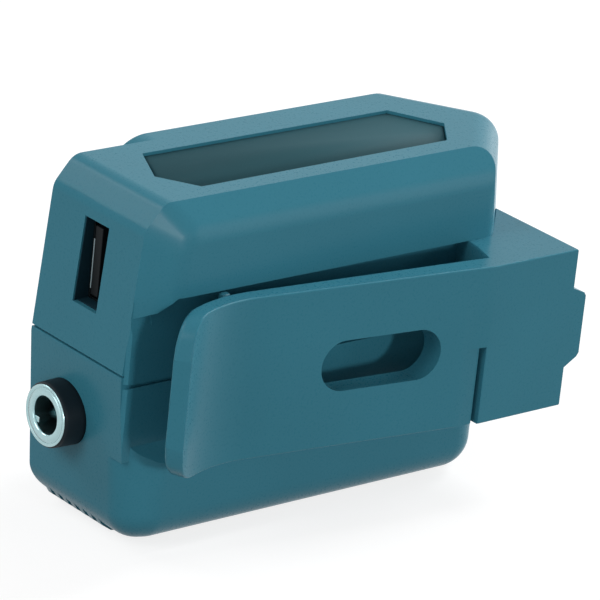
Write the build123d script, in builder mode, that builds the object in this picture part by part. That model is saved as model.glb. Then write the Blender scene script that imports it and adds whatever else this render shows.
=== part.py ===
# Battery adapter: a slim hand-sized housing that slides onto a 12 V tool battery and gives a USB port
# and a round DC socket at one end, with a belt clip along its front. Sizes are in millimetres.
# X runs from the socket end to the clip root, Y from the clip to the battery side, Z up from the base.
from build123d import *
from math import atan2, cos, degrees, radians, sin, tan
import os

os.makedirs("parts", exist_ok=True)

# Housing, seen from above. Distances called _u run from the socket end face towards the clip root.
end_x = -36.0
band_half = 11.1
brow_depth = 2.9
waist_depth = 0.5
rear_narrow_y = 11.5
rear_plate_y = 14.3
rear_step_u = 13.3
pad_corner_round = 7.7
vertex_u = 81.8
vertex_y = 0.0
vertex_radius = 6.0
front_wall_angle = 47.0
rear_wall_angle = 56.5
front_wall_round = 4.0
corner_chamfer = 0.95

# Housing, seen from the front
total_height = 55.5
rib_height = 0.8
parting_z = 26.85
end_tab_rise = 1.8
end_tab_depth = 2.0
widest_z = 28.0
end_lean_top_u = 1.9
end_shoulder_drop = 4.1
top_start_u = 5.3
end_lean_foot_u = 2.2
end_foot_round = 6.5
shoulder_round = 3.0
point_round = 4.4
point_lean = 4.2
lean_room = 30.0
brow_inset_left = 6.1
brow_inset_top = 4.7
brow_corner = 2.4
brow_start_u = 0.9
brow_tail = 6.4
brow_round = 1.8
foot_slope = 2.4
foot_corner_run = 7.0
foot_edge_round = 5.4
foot_corner_round = 6.0
brow_line = [(1.0, 37.9), (4.4, 38.85), (7.2, 41.1)]
brow_line_slope = 0.28
ramp_start = (1.04, 35.56)
ramp_angle = 14.6
ramp_length = 3.5
ramp_steepness = 4.7
wall = 2.0
groove_width = 0.35
groove_depth = 0.6
fit_gap = 0.1
cavity_chamfer = 2.2

# Grip ribs under the base
rib_count = 7
rib_pitch = 2.1
rib_width = 1.1
rib_end_u = 62.5
rib_chords = 4
rib_field_y = 1.8

# Belt clip and the collar that carries it
clip_height = 26.2
clip_mid_z = 28.0
collar_front_y = -24.2
collar_right_u = 77.3
root_u = 62.4
root_thick = 3.9
arm_angle = 7.4
bend_u = 19.0
bend_thick = 3.2
flare_radius = 21.0
flare_angle = 45.5
tip_thick = 2.8
tip_corner = 6.0
hinge_clearance = 0.05
seat_lip = 0.4
slot_u = 41.7
slot_length = 21.7
slot_height = 8.8
nub_u = 15.6
nub_width = 2.4
nub_height = 1.2
nub_tall = 24.6
tab_deep = 14.0
anchor_y = -7.4
tab_height = 13.2
tab_reach = 3.0
tab_slope_top = 1.3
tab_slope_foot = 1.7
slit_height = 12.8
slit_length = 2.6
slit_depth = 1.1
tongue_width = 4.6
tongue_height = 14.0
anchor_width = 7.4
anchor_height = 18.0
anchor_thick = 1.8

# Rating plate on the top
plate_width = 13.3
plate_straight = 47.4
plate_point = 4.3
plate_u = 39.45
plate_y = 0.4
plate_tip_y = -0.9
plate_thick = 0.3
plate_recess = 0.8
plate_gap = 0.15

# USB port
usb_drop = 13.0
usb_window_height = 13.4
usb_window_width = 5.9
usb_start_u = 3.4
usb_shell_height = 13.1
usb_shell_width = 5.7
usb_shell_length = 13.8
usb_sheet = 0.3
usb_tongue_height = 11.0
usb_tongue_thick = 1.9
usb_tongue_start_u = 4.8
usb_tongue_y = 0.65
usb_contact_pitch = 2.3
usb_contact_width = 1.0
usb_contact_thick = 0.2
usb_root_depth = 1.6

# Round DC socket
jack_y = 2.4
jack_z = 18.0
jack_seat_u = 1.5
jack_nut_u = 3.2
jack_collar_radius = 5.1
jack_reach = 2.75
jack_neck_radius = 4.0
jack_neck_length = 13.0
jack_ring_radius = 4.75
jack_hole_radius = 2.85
jack_mouth_chamfer = 0.4
jack_sleeve_thick = 0.45
jack_ring_proud = 0.4
jack_sleeve_depth = 11.0
jack_pin_radius = 1.05
jack_pin_root_radius = 1.5
jack_nut_across = 10.4
jack_nut_thick = 2.4
jack_lug_length = 4.0
jack_pin_set = 3.2
lug_spread = 2.2
lug_width = 2.4
lug_thick = 0.4

# Circuit board and what it carries
bar_start_u = 26.0
bar_end_u = 62.0
bar_side = 1.4
bar_grip = 1.8
board_thick = 1.6
board_start_u = 6.4
board_end_u = 64.0
board_foot_z = 4.2
board_head_drop = 3.3
board_notch_u = 22.0
board_notch_z = 33.0
inductor_radius = 6.4
inductor_bore = 2.6
inductor_thick = 5.0
can_radius = 4.0
can_length = 10.5
chip_size = 5.0
chip_thick = 1.2
chip_spots = [(30.5, 26.0), (38.5, 26.0)]
inductor_u = 34.0
inductor_z = 41.0
winding_thick = 0.6
winding_gap = 1.1
can_spots = [(46.6, 43.2), (46.6, 32.6)]
resistor_length = 1.6
resistor_width = 0.8
resistor_thick = 0.5
resistor_spots = [(28.5, 21.0), (31.5, 21.0), (34.5, 21.0), (37.5, 21.0), (43.5, 24.5), (46.5, 24.5)]
diode_u = 35.0
diode_z = 15.5
diode_length = 4.6
diode_width = 2.8
diode_thick = 2.2
fuse_u = 46.5
fuse_z = 15.5
fuse_length = 6.1
fuse_width = 2.6
fuse_thick = 2.4

# Battery side
rail_centre_z = 28.0
rail_half_span = 20.5
rail_thick = 3.0
rail_reach = 6.0
rail_lip = 3.5
rail_lip_thick = 2.2
rail_start_u = 27.0
rail_length = 42.0
rail_root = 0.6
latch_u = 60.0
latch_length = 5.0
latch_width = 14.0
latch_depth = 1.4
block_start_u = 25.0
block_length = 14.0
block_height = 20.0
block_reach = 5.6
blade_pitch = 6.4
blade_thick = 0.8
blade_width = 4.6
blade_length = 9.0
blade_inset = 2.0
blade_leg = 2.6
blade_clear = 0.5

# Screws and leads
screw_radius = 1.25
screw_head_radius = 2.3
screw_head_height = 1.8
screw_head_z = 14.0
screw_length = 20.0
boss_radius = 3.4
boss_rise = 14.0
boss_spots = [(21.8, -6.1), (57.0, -6.1), (46.0, 9.3), (60.5, 9.3)]
screw_slot_width = 0.7
screw_slot_length = 2.9
screw_slot_depth = 0.8
lead_radius = 0.75
lead_pad_u = 25.5
lead_turn = 1.6
lead_climb = 4.6

# Worked-out places
end_shoulder_z = total_height - end_shoulder_drop
usb_z = total_height - usb_drop
board_head_z = total_height - board_head_drop
base_z = rib_height
band_y = -band_half
waist_y = band_y - waist_depth
brow_y = band_y - brow_depth
recess_foot_z = clip_mid_z - clip_height / 2
recess_head_z = clip_mid_z + clip_height / 2
root_x = end_x + root_u
root_radius = root_thick / 2
root_y = collar_front_y + root_radius
collar_right_x = end_x + collar_right_u


def wall_x(y):
    """X of the pointed end's front wall where it passes a given Y."""
    return end_x + vertex_u - (vertex_y - y) / tan(radians(front_wall_angle))


def plan_points(front_y):
    """Outline of the housing seen from above, with its front face at front_y."""
    rear_corner_x = end_x + vertex_u - (rear_plate_y - vertex_y) / tan(radians(rear_wall_angle))
    step = rear_plate_y - rear_narrow_y
    return [
        (end_x, front_y),
        (wall_x(front_y), front_y),
        (end_x + vertex_u, vertex_y),
        (rear_corner_x, rear_plate_y),
        (end_x + rear_step_u + step, rear_plate_y),
        (end_x + rear_step_u, rear_narrow_y),
        (end_x, rear_narrow_y),
    ]


def plate_points(gap):
    """Outline of the rating plate, grown by a gap on all sides."""
    mid_x = end_x + plate_u
    half = plate_straight / 2
    across = plate_width / 2 + gap
    tip = half + plate_point + gap
    return [
        (mid_x - tip, plate_tip_y),
        (mid_x - half, plate_y - across),
        (mid_x + half, plate_y - across),
        (mid_x + tip, plate_tip_y),
        (mid_x + half, plate_y + across),
        (mid_x - half, plate_y + across),
    ]


def rail_points(side_of):
    """Section of a battery rail: 1 for the rail above the middle, -1 for the one below."""
    head = rail_centre_z + side_of * rail_half_span
    under = head - side_of * rail_thick
    lip = under - side_of * rail_lip
    far_y = rear_plate_y + rail_reach
    return [
        (rear_plate_y - rail_root, head),
        (far_y, head),
        (far_y, lip),
        (far_y - rail_lip_thick, lip),
        (far_y - rail_lip_thick, under),
        (rear_plate_y - rail_root, under),
    ]


# Brow: the front bulge above the clip, which slopes back to the band at its left end and its top
brow_foot_z = recess_head_z - brow_tail
with BuildPart() as brow:
    with BuildSketch(Plane.XZ.offset(band_half)) as brow_root:
        Polygon(
            (end_x + brow_start_u, brow_foot_z),
            (end_x + end_lean_top_u, end_shoulder_z),
            (end_x + top_start_u, total_height),
            (end_x + vertex_u, total_height),
            (end_x + vertex_u, brow_foot_z),
            align=None,
        )
        fillet(brow_root.vertices().sort_by(Axis.X)[1:3], shoulder_round)
    with BuildSketch(Plane.XZ.offset(band_half + brow_depth)) as brow_face:
        face_left_x = end_x + brow_start_u + brow_inset_left
        face_top_z = total_height - brow_inset_top
        Polygon(
            (face_left_x, brow_foot_z),
            (face_left_x + 0.2, face_top_z - brow_corner),
            (face_left_x + brow_corner, face_top_z),
            (end_x + vertex_u, face_top_z),
            (end_x + vertex_u, brow_foot_z),
            align=None,
        )
        fillet(brow_face.vertices().sort_by(Axis.X)[1:3], brow_corner / 2)
    loft(ruled=True)
    face_edges = brow.faces().sort_by(Axis.Y)[0].edges()
    soft_edges = face_edges.filter_by(lambda e: e.center().Z > brow_foot_z + 1 and e.center().X < end_x + vertex_u - 1)
    fillet(soft_edges, brow_round)
    with BuildSketch(Plane.XY.offset(brow_foot_z)) as brow_plan:
        Polygon(*plan_points(brow_y), align=None)
        fillet(brow_plan.vertices().sort_by(Axis.X)[-1], vertex_radius)
        fillet(brow_plan.vertices().group_by(Axis.Y)[0].sort_by(Axis.X)[-1], front_wall_round)
    extrude(amount=total_height - brow_foot_z, mode=Mode.INTERSECT)
    # Outside the band the brow stops above the clip, and its lower edge falls towards the left corner
    with BuildSketch(Plane.XZ.offset(band_half)):
        Polygon(
            (end_x - 1, brow_foot_z - 1),
            (end_x - 1, brow_line[0][1] - (brow_line[0][0] + 1) * brow_line_slope),
            *[(end_x + u, z) for u, z in brow_line],
            (end_x + vertex_u, recess_head_z),
            (end_x + vertex_u, brow_foot_z - 1),
            align=None,
        )
    extrude(amount=brow_depth + 1, mode=Mode.SUBTRACT)

# Waist: the front face behind the belt clip, with a narrow corner chamfer and a steep ramp under the brow
with BuildPart() as waist:
    with BuildSketch(Plane.XY.offset(recess_foot_z)) as waist_plan:
        Polygon(*plan_points(waist_y), align=None)
        chamfer(waist_plan.vertices().group_by(Axis.Y)[0].sort_by(Axis.X)[0], corner_chamfer)
        fillet(waist_plan.vertices().sort_by(Axis.X)[-1], vertex_radius)
    extrude(amount=clip_height)
    slope_x = cos(radians(ramp_angle))
    slope_z = sin(radians(ramp_angle))
    ramp_plane = Plane(
        origin=(end_x + ramp_start[0] - slope_x, waist_y, ramp_start[1] - slope_z),
        x_dir=(0, 1, 0),
        z_dir=(slope_x, 0, slope_z),
    )
    with BuildSketch(ramp_plane):
        Polygon(
            (-1, -ramp_steepness),
            (waist_depth, waist_depth * ramp_steepness),
            (waist_depth, clip_height),
            (-1, clip_height),
            align=None,
        )
    extrude(amount=ramp_length + 1, mode=Mode.SUBTRACT)

# Foot: the front bulge below the clip, rounded into the base
with BuildPart() as foot:
    with BuildSketch(Plane.XY.offset(base_z)) as foot_plan:
        points = plan_points(brow_y)
        Polygon((end_x, band_y), (end_x + foot_corner_run, brow_y), *points[1:], align=None)
        fillet(foot_plan.vertices().sort_by(Axis.X)[-1], vertex_radius)
        fillet(foot_plan.vertices().group_by(Axis.Y)[0], foot_corner_round)
    extrude(amount=recess_foot_z + foot_slope - base_z)
    with BuildSketch(Plane.XZ):
        Polygon(
            (end_x, widest_z),
            (end_x + end_lean_foot_u, base_z),
            (end_x + vertex_u, base_z),
            (end_x + vertex_u, widest_z),
            align=None,
        )
    extrude(amount=30, both=True, mode=Mode.INTERSECT)
    rim = foot.edges().filter_by(lambda e: e.center().Z < base_z + 0.01)
    uprights = foot.edges().filter_by(lambda e: base_z + 2 < e.center().Z < recess_foot_z - 2)
    left_corner = uprights.group_by(Axis.X)[0].sort_by(Axis.Y)[0]
    fillet([*rim, left_corner], foot_edge_round)
    with BuildSketch(Plane.YZ.offset(end_x)):
        Polygon(
            (waist_y, recess_foot_z + foot_slope),
            (brow_y - 1, recess_foot_z - foot_slope * 0.6),
            (brow_y - 1, recess_foot_z + 2 * foot_slope),
            (waist_y, recess_foot_z + 2 * foot_slope),
            align=None,
        )
    extrude(amount=vertex_u, mode=Mode.SUBTRACT)

# Space that leans in towards the top round the pointed end, and is wider than the housing elsewhere
with BuildPart() as lean_hull:
    with BuildSketch(Plane.XY.offset(recess_head_z)) as lean_plan:
        Polygon(
            (end_x - lean_room, -lean_room),
            (wall_x(-lean_room), -lean_room),
            (end_x + vertex_u, vertex_y),
            (end_x + vertex_u - (lean_room - vertex_y) / tan(radians(rear_wall_angle)), lean_room),
            (end_x - lean_room, lean_room),
            align=None,
        )
        fillet(lean_plan.vertices().sort_by(Axis.X)[-1], vertex_radius)
    extrude(amount=total_height - recess_head_z, taper=point_lean)
    with BuildSketch(Plane.XY.offset(recess_head_z)):
        Rectangle(2 * vertex_u, 2 * lean_room)
    extrude(amount=-recess_head_z - 1)

# The whole outer form, trimmed by its side outline
with BuildPart() as form:
    with BuildSketch(Plane.XY.offset(recess_foot_z)) as core_plan:
        Polygon(*plan_points(band_y), align=None)
        fillet(core_plan.vertices().sort_by(Axis.X)[-1], vertex_radius)
    extrude(amount=total_height - recess_foot_z)
    add(waist.part)
    add(brow.part)
    with BuildSketch(Plane.XZ) as side:
        Polygon(
            (end_x, widest_z),
            (end_x + end_lean_top_u, end_shoulder_z),
            (end_x + top_start_u, total_height),
            (end_x + vertex_u, total_height),
            (end_x + vertex_u, recess_foot_z),
            (end_x + (widest_z - recess_foot_z) / (widest_z - base_z) * end_lean_foot_u, recess_foot_z),
            align=None,
        )
        corners = side.vertices().filter_by(lambda v: v.Y > end_shoulder_z - 1).sort_by(Axis.X)[0:2]
        fillet(corners, shoulder_round)
    extrude(amount=30, both=True, mode=Mode.INTERSECT)
    add(foot.part)
    with BuildSketch(Plane.XZ.offset(-rear_plate_y - 1)):
        pad_mid = (end_x + rear_step_u + pad_corner_round, total_height - pad_corner_round)
        with Locations(pad_mid):
            Rectangle(2 * pad_corner_round, 2 * pad_corner_round, align=(Align.MAX, Align.MIN))
            Circle(pad_corner_round, mode=Mode.SUBTRACT)
    extrude(amount=rear_plate_y + 1 - rear_narrow_y, mode=Mode.SUBTRACT)
    add(lean_hull.part, mode=Mode.INTERSECT)
    top_rim = form.faces().sort_by(Axis.Z)[-1].edges()
    point_rim = top_rim.filter_by(lambda e: e.center().X > wall_x(brow_y))
    fillet(point_rim, point_round)

# Inner space of the housing: the outline set in by the wall, kept back from the leaning end face
tongue_depth = wall + fit_gap
board_y = usb_shell_width / 2
board_rear_y = board_y + board_thick
with BuildPart() as cavity:
    with BuildSketch(Plane.XY.offset(base_z + wall)) as cavity_plan:
        Polygon(*plan_points(band_y), align=None)
        offset(amount=-wall, kind=Kind.INTERSECTION)
        fillet(cavity_plan.vertices().sort_by(Axis.X)[-1], vertex_radius - wall)
    extrude(amount=total_height - 2 * wall - plate_recess - base_z)
    chamfer(cavity.faces().sort_by(Axis.Z)[0].edges(), cavity_chamfer)
    with BuildSketch(Plane.XZ):
        Polygon(
            (end_x + jack_nut_u, parting_z),
            (end_x + wall, parting_z),
            (end_x + wall + end_lean_top_u, end_shoulder_z),
            (end_x + wall + top_start_u, total_height),
            (end_x + vertex_u, total_height),
            (end_x + vertex_u, base_z),
            (end_x + jack_nut_u + end_foot_round, base_z),
            (end_x + jack_nut_u, base_z + end_foot_round),
            align=None,
        )
    extrude(amount=30, both=True, mode=Mode.INTERSECT)

# Grip ribs: strips under the base that wrap round the end's lower rounding
rib_arc_u = end_lean_foot_u + foot_edge_round
rib_turns = [radians(90 * step / rib_chords) for step in range(1, rib_chords + 1)]
rib_rows = [rib_field_y + rib_pitch * (row - (rib_count - 1) / 2) for row in range(rib_count)]
with BuildPart() as grip_ribs:
    with BuildSketch(*[Plane.XZ.offset(-y) for y in rib_rows]):
        Polygon(
            (end_x + end_lean_foot_u + wall / 2, foot_edge_round),
            *[(end_x + rib_arc_u - foot_edge_round * cos(a), foot_edge_round * (1 - sin(a))) for a in rib_turns],
            (end_x + rib_end_u, 0),
            (end_x + rib_end_u, base_z + wall / 2),
            (end_x + rib_arc_u, base_z + wall / 2),
            align=None,
        )
    extrude(amount=rib_width / 2, both=True)

# What belongs to the lower shell: all below the parting plane, and the tab that rises at the end face
with BuildPart() as lower_side:
    with BuildSketch(Plane.XY.offset(-1)):
        with Locations((end_x + vertex_u / 2, 0)):
            Rectangle(vertex_u + 20, 80)
    extrude(amount=parting_z + 1)
    with BuildSketch(Plane.XY.offset(parting_z)):
        with Locations((end_x, (rear_narrow_y + band_y) / 2)):
            Rectangle(2 * end_tab_depth, rear_narrow_y - band_y)
    extrude(amount=end_tab_rise)

# Reveal groove round the housing where the shells meet, one step higher across the end tab
with BuildPart() as groove:
    with BuildSketch(Plane.XY.offset(parting_z)) as groove_plan:
        Polygon(*plan_points(waist_y), align=None)
        offset(amount=1, kind=Kind.INTERSECTION)
    extrude(amount=groove_width)
    with BuildSketch(Plane.XY.offset(parting_z)) as groove_core:
        Polygon(*plan_points(waist_y), align=None)
        chamfer(groove_core.vertices().group_by(Axis.Y)[0].sort_by(Axis.X)[0], corner_chamfer)
        fillet(groove_core.vertices().sort_by(Axis.X)[-1], vertex_radius)
        offset(amount=-groove_depth)
    extrude(amount=groove_width, mode=Mode.SUBTRACT)
    with BuildSketch(Plane.XY.offset(parting_z)):
        with Locations((end_x, (rear_narrow_y + band_y) / 2)):
            Rectangle(2 * end_tab_depth, rear_narrow_y - band_y)
    extrude(amount=groove_width, mode=Mode.SUBTRACT)
    with BuildSketch(Plane.XY.offset(parting_z + end_tab_rise)):
        with Locations((end_x, (rear_narrow_y + band_y) / 2)):
            Rectangle(2 * groove_depth, rear_narrow_y - band_y)
    extrude(amount=groove_width)

boss_places = [(end_x + u, y) for u, y in boss_spots]
wall_plane = Plane(
    origin=(wall_x(anchor_y), anchor_y, clip_mid_z),
    x_dir=(cos(radians(front_wall_angle)), sin(radians(front_wall_angle)), 0),
    z_dir=(sin(radians(front_wall_angle)), -cos(radians(front_wall_angle)), 0),
)
block_mid_x = end_x + block_start_u + block_length / 2
shank_z = screw_head_z + screw_head_height
bar_mid_x = end_x + (bar_start_u + bar_end_u) / 2

# Lower shell, with four eight-sided, counterbored screw bosses and a grooved bar that holds the board's lower edge
with BuildPart() as lower_shell:
    add(form.part)
    add(lower_side.part, mode=Mode.INTERSECT)
    add(cavity.part, mode=Mode.SUBTRACT)
    with BuildSketch(Plane.XY.offset(base_z + wall / 2)):
        with Locations((bar_mid_x, board_y + board_thick / 2)):
            Rectangle(bar_end_u - bar_start_u, board_thick + 2 * bar_side)
    extrude(amount=board_foot_z + bar_grip - base_z - wall / 2)
    with BuildSketch(Plane.XY.offset(base_z + wall / 2)):
        with Locations(*boss_places):
            RegularPolygon(boss_radius, 8, major_radius=False)
    extrude(amount=parting_z - base_z - wall / 2)
    with BuildSketch(Plane.XY.offset(board_foot_z)):
        with Locations((bar_mid_x, board_y + board_thick / 2)):
            Rectangle(bar_end_u - bar_start_u + 1, board_thick + fit_gap)
    extrude(amount=2 * bar_grip, mode=Mode.SUBTRACT)
    add(grip_ribs.part)
    with BuildSketch(Plane.XY.offset(-1)):
        with Locations(*boss_places):
            Circle(screw_head_radius + fit_gap)
    extrude(amount=shank_z + 1, mode=Mode.SUBTRACT)
    with BuildSketch(Plane.XY.offset(-1)):
        with Locations(*boss_places):
            Circle(screw_radius + fit_gap)
    extrude(amount=parting_z + 2, mode=Mode.SUBTRACT)
    with BuildSketch(Plane.YZ.offset(end_x - 1)):
        with Locations((jack_y, jack_z)):
            Circle(jack_collar_radius + fit_gap)
    extrude(amount=jack_seat_u + 1, mode=Mode.SUBTRACT)
    with BuildSketch(Plane.YZ.offset(end_x - 1)):
        with Locations((jack_y, jack_z)):
            Circle(jack_neck_radius + fit_gap)
    extrude(amount=jack_nut_u + 2, mode=Mode.SUBTRACT)
    with BuildSketch(Plane.YZ.offset(end_x + rail_start_u)):
        Polygon(*rail_points(-1), align=None)
    extrude(amount=rail_length)
    with BuildSketch(Plane.XZ.offset(-rear_plate_y - 1)):
        with Locations((block_mid_x, rail_centre_z)):
            Rectangle(block_length + 2 * fit_gap, block_height + 2 * fit_gap)
    extrude(amount=wall + 2, mode=Mode.SUBTRACT)
    with BuildSketch(Plane.XZ.offset(-rear_plate_y - 1)):
        with Locations((end_x + latch_u, rail_centre_z)):
            Rectangle(latch_length, latch_width)
    extrude(amount=latch_depth + 1, mode=Mode.SUBTRACT)
    with BuildSketch(wall_plane.offset(1)):
        Rectangle(tongue_width + 2 * fit_gap, tongue_height + 2 * fit_gap)
    extrude(amount=-wall - 2, mode=Mode.SUBTRACT)
lower_shell.part.label = "lower_shell"
export_step(lower_shell.part, "parts/lower_shell.step")

# Upper shell, with the port window, the plate recess, the upper bosses and the board's upper bar
with BuildPart() as upper_shell:
    add(form.part)
    add(lower_side.part, mode=Mode.SUBTRACT)
    add(cavity.part, mode=Mode.SUBTRACT)
    add(groove.part, mode=Mode.SUBTRACT)
    with BuildSketch(Plane.XY.offset(parting_z)):
        with Locations(*boss_places):
            RegularPolygon(boss_radius, 8, major_radius=False)
            Circle(screw_radius, mode=Mode.SUBTRACT)
    extrude(amount=boss_rise)
    with BuildSketch(Plane.XY.offset(board_head_z - bar_grip)):
        with Locations((bar_mid_x, board_y + board_thick / 2)):
            Rectangle(bar_end_u - bar_start_u, board_thick + 2 * bar_side)
    extrude(amount=total_height - wall - plate_recess + fit_gap - board_head_z + bar_grip)
    with BuildSketch(Plane.XY.offset(board_head_z)):
        with Locations((bar_mid_x, board_y + board_thick / 2)):
            Rectangle(bar_end_u - bar_start_u + 1, board_thick + fit_gap)
    extrude(amount=-2 * bar_grip, mode=Mode.SUBTRACT)
    with BuildSketch(Plane.XY.offset(total_height)):
        Polygon(*plate_points(plate_gap), align=None)
    extrude(amount=-plate_recess, mode=Mode.SUBTRACT)
    with BuildSketch(Plane.YZ.offset(end_x - 1)):
        with Locations((0, usb_z)):
            Rectangle(usb_window_width, usb_window_height)
    extrude(amount=2 * wall + end_lean_top_u + 1, mode=Mode.SUBTRACT)
    with BuildSketch(Plane.YZ.offset(end_x + rail_start_u)):
        Polygon(*rail_points(1), align=None)
    extrude(amount=rail_length)
    with BuildSketch(Plane.XZ.offset(-rear_plate_y - 1)):
        with Locations((block_mid_x, rail_centre_z)):
            Rectangle(block_length + 2 * fit_gap, block_height + 2 * fit_gap)
    extrude(amount=wall + 2, mode=Mode.SUBTRACT)
    with BuildSketch(Plane.XZ.offset(-rear_plate_y - 1)):
        with Locations((end_x + latch_u, rail_centre_z)):
            Rectangle(latch_length, latch_width)
    extrude(amount=latch_depth + 1, mode=Mode.SUBTRACT)
    with BuildSketch(wall_plane.offset(1)):
        Rectangle(tongue_width + 2 * fit_gap, tongue_height + 2 * fit_gap)
    extrude(amount=-wall - 2, mode=Mode.SUBTRACT)
upper_shell.part.label = "upper_shell"
export_step(upper_shell.part, "parts/upper_shell.step")

# Rating plate in the recess on the top
with BuildPart() as rating_plate:
    with BuildSketch(Plane.XY.offset(total_height - plate_recess)):
        Polygon(*plate_points(0), align=None)
    extrude(amount=plate_thick)
rating_plate.part.label = "rating_plate"
export_step(rating_plate.part, "parts/rating_plate.step")

# Collar that carries the clip: a corner block against the slanting wall, with a tab at its right end,
# a half-round seat for the clip's root, and a tongue that the two shells clamp
mouth_x = root_x + seat_lip
with BuildPart() as clip_collar:
    with BuildSketch(Plane.XY.offset(recess_foot_z)):
        Polygon(
            (mouth_x, collar_front_y),
            (collar_right_x, collar_front_y),
            (collar_right_x, waist_y + (collar_right_x - wall_x(waist_y)) * tan(radians(front_wall_angle))),
            (wall_x(waist_y), waist_y),
            (mouth_x, waist_y - (wall_x(waist_y) - mouth_x) * tan(radians(front_wall_angle))),
            align=None,
        )
    extrude(amount=clip_height)
    with BuildSketch(Plane.XZ.offset(-collar_front_y)):
        tab_foot_z = clip_mid_z - tab_height / 2
        tab_head_z = clip_mid_z + tab_height / 2
        Polygon(
            (collar_right_x - tab_reach, tab_foot_z),
            (collar_right_x, tab_foot_z),
            (collar_right_x + tab_reach, tab_foot_z + tab_slope_foot),
            (collar_right_x + tab_reach, tab_head_z - tab_slope_top),
            (collar_right_x, tab_head_z),
            (collar_right_x - tab_reach, tab_head_z),
            align=None,
        )
    extrude(amount=-tab_deep)
    with BuildSketch(Plane.XY.offset(recess_foot_z)):
        with Locations((root_x, root_y)):
            Circle(root_radius + hinge_clearance)
    extrude(amount=clip_height, mode=Mode.SUBTRACT)
    with BuildSketch(wall_plane):
        Rectangle(tongue_width, tongue_height)
    extrude(amount=-tongue_depth)
    with BuildSketch(wall_plane.offset(-tongue_depth)):
        Rectangle(anchor_width, anchor_height)
    extrude(amount=-anchor_thick)
clip_collar.part.label = "clip_collar"
export_step(clip_collar.part, "parts/clip_collar.step")

# Belt clip: a straight arm that leans towards the housing and flares out at its tip
slant = radians(arm_angle)
bend_x = end_x + bend_u
bend_y = root_y - root_radius * cos(slant) + (root_x - bend_x) * tan(slant)
flare_mid = (bend_x - flare_radius * sin(slant), bend_y - flare_radius * cos(slant))


def flare_point(turn, outward):
    """Point on the flare: turn in degrees from the bend, outward as distance from its centre."""
    at = slant - radians(turn)
    return (flare_mid[0] + outward * sin(at), flare_mid[1] + outward * cos(at))


rear_slant = slant - atan2(root_thick - bend_thick, root_x - bend_x)
with BuildPart() as belt_clip:
    with BuildSketch(Plane.XY.offset(recess_foot_z)) as clip_plan:
        with BuildLine():
            front_root = (root_x - root_radius * sin(slant), root_y - root_radius * cos(slant))
            rear_root = (root_x + root_radius * sin(rear_slant), root_y + root_radius * cos(rear_slant))
            ThreePointArc(front_root, (root_x + root_radius, root_y), rear_root)
            Line(rear_root, flare_point(0, flare_radius + bend_thick))
            ThreePointArc(
                flare_point(0, flare_radius + bend_thick),
                flare_point(flare_angle / 2, flare_radius + (bend_thick + tip_thick) / 2),
                flare_point(flare_angle, flare_radius + tip_thick),
            )
            Line(flare_point(flare_angle, flare_radius + tip_thick), flare_point(flare_angle, flare_radius))
            ThreePointArc(
                flare_point(flare_angle, flare_radius),
                flare_point(flare_angle / 2, flare_radius),
                flare_point(0, flare_radius),
            )
            Line(flare_point(0, flare_radius), front_root)
        make_face()
    extrude(amount=clip_height)
    tip_edges = belt_clip.faces().sort_by(Axis.X)[0].edges()
    fillet(tip_edges.filter_by(lambda e: e.center().Z > recess_head_z - 0.1), tip_corner)
    tip_edges = belt_clip.edges().filter_by(lambda e: e.center().Z < recess_foot_z + 0.1)
    tip_low = tip_edges.sort_by(Axis.X)[0]
    fillet(tip_low, tip_corner)
    with BuildSketch(Plane.XZ):
        with Locations((end_x + slot_u, clip_mid_z)):
            SlotOverall(slot_length, slot_height)
    extrude(amount=2 * -collar_front_y, mode=Mode.SUBTRACT)
    with BuildSketch(Plane.XY.offset(recess_foot_z)):
        slit_x = end_x + root_u - slit_length
        Polygon(
            (slit_x, collar_front_y - 1),
            (root_x, collar_front_y - 1),
            (root_x, collar_front_y + slit_depth),
            (slit_x, collar_front_y + (root_x - slit_x) * tan(slant)),
            align=None,
        )
    extrude(amount=slit_height, mode=Mode.SUBTRACT)
    nub_turn = degrees(atan2(bend_u - nub_u, flare_radius))
    nub_at = flare_point(nub_turn, flare_radius + bend_thick)
    with BuildSketch(Plane.XY.offset(clip_mid_z - nub_tall / 2)):
        with Locations(Location((nub_at[0], nub_at[1]), nub_turn - arm_angle)):
            Rectangle(nub_width, 2 * nub_height)
    extrude(amount=nub_tall)
belt_clip.part.label = "belt_clip"
export_step(belt_clip.part, "parts/belt_clip.step")

# USB port: a folded shell, its tongue and four contacts
usb_x = end_x + usb_start_u
with BuildPart() as usb_shell:
    with BuildSketch(Plane.YZ.offset(usb_x)):
        with Locations((0, usb_z)):
            Rectangle(usb_shell_width, usb_shell_height)
    extrude(amount=usb_shell_length)
    with BuildSketch(Plane.YZ.offset(usb_x)):
        with Locations((0, usb_z)):
            Rectangle(usb_shell_width - 2 * usb_sheet, usb_shell_height - 2 * usb_sheet)
    extrude(amount=usb_shell_length - usb_sheet, mode=Mode.SUBTRACT)
usb_shell.part.label = "usb_shell"
export_step(usb_shell.part, "parts/usb_shell.step")

usb_back_x = usb_x + usb_shell_length - usb_sheet
with BuildPart() as usb_tongue:
    with BuildSketch(Plane.YZ.offset(end_x + usb_tongue_start_u)):
        with Locations((usb_tongue_y, usb_z)):
            Rectangle(usb_tongue_thick, usb_tongue_height)
    extrude(amount=usb_back_x - end_x - usb_tongue_start_u)
    with BuildSketch(Plane.YZ.offset(usb_back_x)):
        with Locations((0, usb_z)):
            Rectangle(usb_shell_width - 2 * usb_sheet, usb_shell_height - 2 * usb_sheet)
    extrude(amount=-usb_root_depth)
usb_tongue.part.label = "usb_tongue"
export_step(usb_tongue.part, "parts/usb_tongue.step")

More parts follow.
